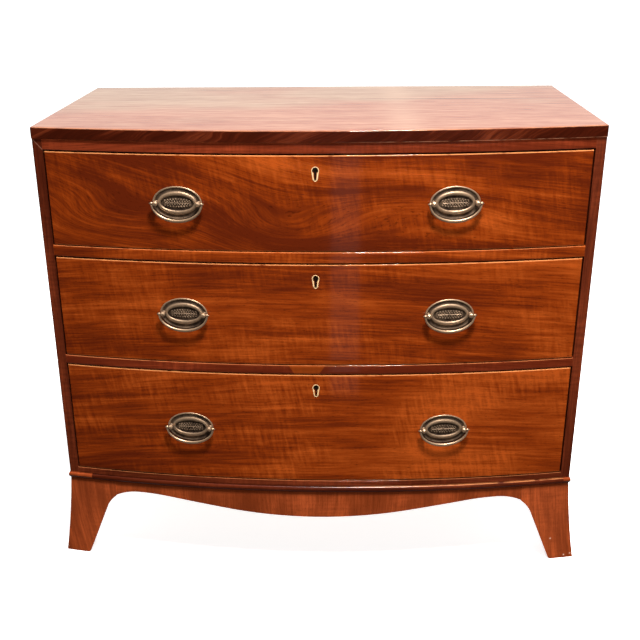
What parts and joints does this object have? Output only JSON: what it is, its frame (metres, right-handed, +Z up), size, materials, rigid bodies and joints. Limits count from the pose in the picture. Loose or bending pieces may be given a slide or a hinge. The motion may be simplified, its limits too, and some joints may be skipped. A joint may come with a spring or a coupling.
{
  "type": "bow front chest of drawers",
  "caption": "Bow-fronted mahogany chest of long graduated drawers on splayed bracket feet, with dovetailed drawers, locks and oval bail handles that move",
  "frame": {"origin": "on the floor, under the middle of the whole object's box", "axes": "+X to the right seen from the front, +Y from the bowed front to the back, +Z up"},
  "size_m": [1.0376, 0.5733, 0.858],
  "materials": {
    "veneer": "gloss",
    "carcase_wood": "satin",
    "secondary_wood": "matte",
    "brass": "satin",
    "bone": "satin",
    "iron": "matte"
  },
  "bodies": {
    "carcase": {"back_boards": "secondary_wood", "back_feet": "veneer", "back_rail": "secondary_wood", "base_moulding": "carcase_wood", "base_rail": "carcase_wood", "bottom_board": "secondary_wood", "divider_1": "carcase_wood", "divider_2": "carcase_wood", "drawer_runners": "secondary_wood", "drawer_stops": "secondary_wood", "dust_boards": "secondary_wood", "front_apron": "veneer", "front_feet": "veneer", "glue_blocks": "secondary_wood", "kickers": "secondary_wood", "side_aprons": "veneer", "side_left": "veneer", "side_right": "veneer", "stile_left": "carcase_wood", "stile_right": "carcase_wood", "top": "veneer", "top_rail": "carcase_wood"},
    "drawer_1": {"drawer_1_back": "secondary_wood", "drawer_1_bottom": "secondary_wood", "drawer_1_escutcheon": "bone", "drawer_1_front": "veneer", "drawer_1_handle_plates": "brass", "drawer_1_handle_posts": "brass", "drawer_1_lock": "iron", "drawer_1_side_left": "secondary_wood", "drawer_1_side_right": "secondary_wood"},
    "lock_bolt_1": {"drawer_1_lock_bolt": "iron"},
    "bail_1_left": {"drawer_1_bail_left": "brass"},
    "bail_1_right": {"drawer_1_bail_right": "brass"},
    "drawer_2": {"drawer_2_back": "secondary_wood", "drawer_2_bottom": "secondary_wood", "drawer_2_escutcheon": "bone", "drawer_2_front": "veneer", "drawer_2_handle_plates": "brass", "drawer_2_handle_posts": "brass", "drawer_2_lock": "iron", "drawer_2_side_left": "secondary_wood", "drawer_2_side_right": "secondary_wood"},
    "lock_bolt_2": {"drawer_2_lock_bolt": "iron"},
    "bail_2_left": {"drawer_2_bail_left": "brass"},
    "bail_2_right": {"drawer_2_bail_right": "brass"},
    "drawer_3": {"drawer_3_back": "secondary_wood", "drawer_3_bottom": "secondary_wood", "drawer_3_escutcheon": "bone", "drawer_3_front": "veneer", "drawer_3_handle_plates": "brass", "drawer_3_handle_posts": "brass", "drawer_3_lock": "iron", "drawer_3_side_left": "secondary_wood", "drawer_3_side_right": "secondary_wood"},
    "lock_bolt_3": {"drawer_3_lock_bolt": "iron"},
    "bail_3_left": {"drawer_3_bail_left": "brass"},
    "bail_3_right": {"drawer_3_bail_right": "brass"}
  },
  "joints": [
    {"name": "drawer_1_slide", "type": "slide", "parent": "carcase", "child": "drawer_1", "axis": [0, -1, 0], "range_m": [0, 0.4]},
    {"name": "drawer_1_lock_bolt_slide", "type": "slide", "parent": "drawer_1", "child": "lock_bolt_1", "axis": [0, 0, 1], "range_m": [0, 0.008]},
    {"name": "drawer_1_bail_left_hinge", "type": "hinge", "parent": "drawer_1", "child": "bail_1_left", "pos_m": [-0.24277, -0.27854, 0.7322], "axis": [-0.9954, 0.0963, 0], "range_deg": [-5, 180]},
    {"name": "drawer_1_bail_right_hinge", "type": "hinge", "parent": "drawer_1", "child": "bail_1_right", "pos_m": [0.24277, -0.27854, 0.7322], "axis": [-0.9954, -0.0963, 0], "range_deg": [-5, 180]},
    {"name": "drawer_2_slide", "type": "slide", "parent": "carcase", "child": "drawer_2", "axis": [0, -1, 0], "range_m": [0, 0.4]},
    {"name": "drawer_2_lock_bolt_slide", "type": "slide", "parent": "drawer_2", "child": "lock_bolt_2", "axis": [0, 0, 1], "range_m": [0, 0.008]},
    {"name": "drawer_2_bail_left_hinge", "type": "hinge", "parent": "drawer_2", "child": "bail_2_left", "pos_m": [-0.24277, -0.27854, 0.5275], "axis": [-0.9954, 0.0963, 0], "range_deg": [-5, 180]},
    {"name": "drawer_2_bail_right_hinge", "type": "hinge", "parent": "drawer_2", "child": "bail_2_right", "pos_m": [0.24277, -0.27854, 0.5275], "axis": [-0.9954, -0.0963, 0], "range_deg": [-5, 180]},
    {"name": "drawer_3_slide", "type": "slide", "parent": "carcase", "child": "drawer_3", "axis": [0, -1, 0], "range_m": [0, 0.4]},
    {"name": "drawer_3_lock_bolt_slide", "type": "slide", "parent": "drawer_3", "child": "lock_bolt_3", "axis": [0, 0, 1], "range_m": [0, 0.008]},
    {"name": "drawer_3_bail_left_hinge", "type": "hinge", "parent": "drawer_3", "child": "bail_3_left", "pos_m": [-0.24277, -0.27854, 0.297], "axis": [-0.9954, 0.0963, 0], "range_deg": [-5, 180]},
    {"name": "drawer_3_bail_right_hinge", "type": "hinge", "parent": "drawer_3", "child": "bail_3_right", "pos_m": [0.24277, -0.27854, 0.297], "axis": [-0.9954, -0.0963, 0], "range_deg": [-5, 180]}
  ]
}
